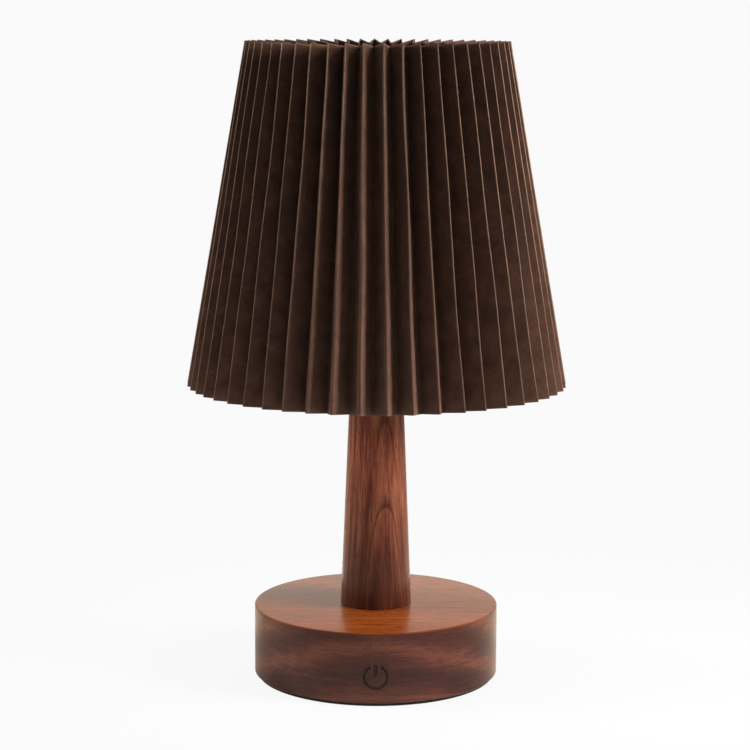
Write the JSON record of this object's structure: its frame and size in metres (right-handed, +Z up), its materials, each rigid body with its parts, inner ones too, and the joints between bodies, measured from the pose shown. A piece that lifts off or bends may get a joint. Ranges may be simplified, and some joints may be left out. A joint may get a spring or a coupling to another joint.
{
  "type": "cordless desk lamp",
  "caption": "Cordless desk lamp: turned wooden base and tapered stem, touch switch, LED head and a lift-off pleated cone shade.",
  "frame": {"origin": "on the lamp's axis at the underside of its foot pad", "axes": "+Z up along the stem; the touch area faces -Y and the charging port faces +Y; +X is to the right seen from the front"},
  "size_m": [0.185, 0.1848, 0.3118],
  "materials": {
    "foot_rubber": "matt black soft pad",
    "black_steel": "satin black powder coat",
    "zinc_screws": "zinc-plated steel",
    "base_walnut": "satin oiled walnut, flat grain",
    "ballast_steel": "bare pressed steel",
    "tray_plastic": "moulded black plastic",
    "cell_sleeve": "plain shrink sleeve on a steel can",
    "nickel_strip": "nickel strip",
    "circuit_board": "green solder mask",
    "port_shell": "drawn stainless shell",
    "bezel_plastic": "fine matt black plastic",
    "clear_plastic": "clear polished plastic",
    "copper_foil": "copper foil",
    "contact_foam": "conductive foam",
    "lead_sleeve": "black PVC sleeve",
    "threaded_steel": "zinc-plated threaded pipe",
    "stem_walnut": "satin oiled walnut, grain along the stem",
    "holder_metal": "satin dark-brown anodised aluminium",
    "sink_aluminium": "bare die-cast aluminium",
    "led_board_white": "white solder mask on aluminium",
    "led_phosphor": "white package with yellow phosphor",
    "opal_plastic": "opal polycarbonate",
    "washer_rubber": "silicone rubber",
    "ring_plastic": "ribbed black plastic",
    "frame_wire": "dark-brown powder-coated wire",
    "pleated_suede": "dark-brown suede-like fabric, accordion pleats"
  },
  "bodies": {
    "lamp": {"foot_pad": "foot_rubber", "base_cover": "black_steel", "cover_screws": "zinc_screws", "wooden_base": "base_walnut", "ballast_plate": "ballast_steel", "battery_tray": "tray_plastic", "battery_cell_left": "cell_sleeve", "battery_cell_right": "cell_sleeve", "battery_contacts": "nickel_strip", "control_board": "circuit_board", "board_screws": "zinc_screws", "usb_c_port": "port_shell", "usb_bezel": "bezel_plastic", "charge_light_pipe": "clear_plastic", "touch_electrode": "copper_foil", "touch_foam": "contact_foam", "touch_board": "circuit_board", "touch_lead": "lead_sleeve", "lamp_pipe": "threaded_steel", "pipe_washer": "threaded_steel", "pipe_nut": "threaded_steel", "holder_nut": "threaded_steel", "wooden_stem": "stem_walnut", "lamp_holder": "holder_metal", "holder_collar": "ring_plastic", "heat_sink": "sink_aluminium", "led_board": "led_board_white", "led_board_screws": "zinc_screws", "led_chips": "led_phosphor", "diffuser": "opal_plastic", "led_lead": "lead_sleeve"},
    "washer": {"seat_washer": "washer_rubber"},
    "shade": {"shade_frame": "frame_wire", "bottom_hoop": "frame_wire", "pleated_shade": "pleated_suede"},
    "ring_nut": {"shade_ring_nut": "ring_plastic"}
  },
  "joints": [
    {"name": "shade_lift", "type": "slide", "parent": "lamp", "child": "washer", "axis": [0, 0, 1], "range_m": [0, 0.125]},
    {"name": "shade_turn", "type": "hinge", "parent": "washer", "child": "shade", "pos_m": [0, 0, 0.2083], "axis": [0, 0, 1], "continuous": true},
    {"name": "ring_nut_turn", "type": "hinge", "parent": "washer", "child": "ring_nut", "pos_m": [0, 0, 0.213], "axis": [0, 0, 1], "range_deg": [0, 1080]}
  ]
}
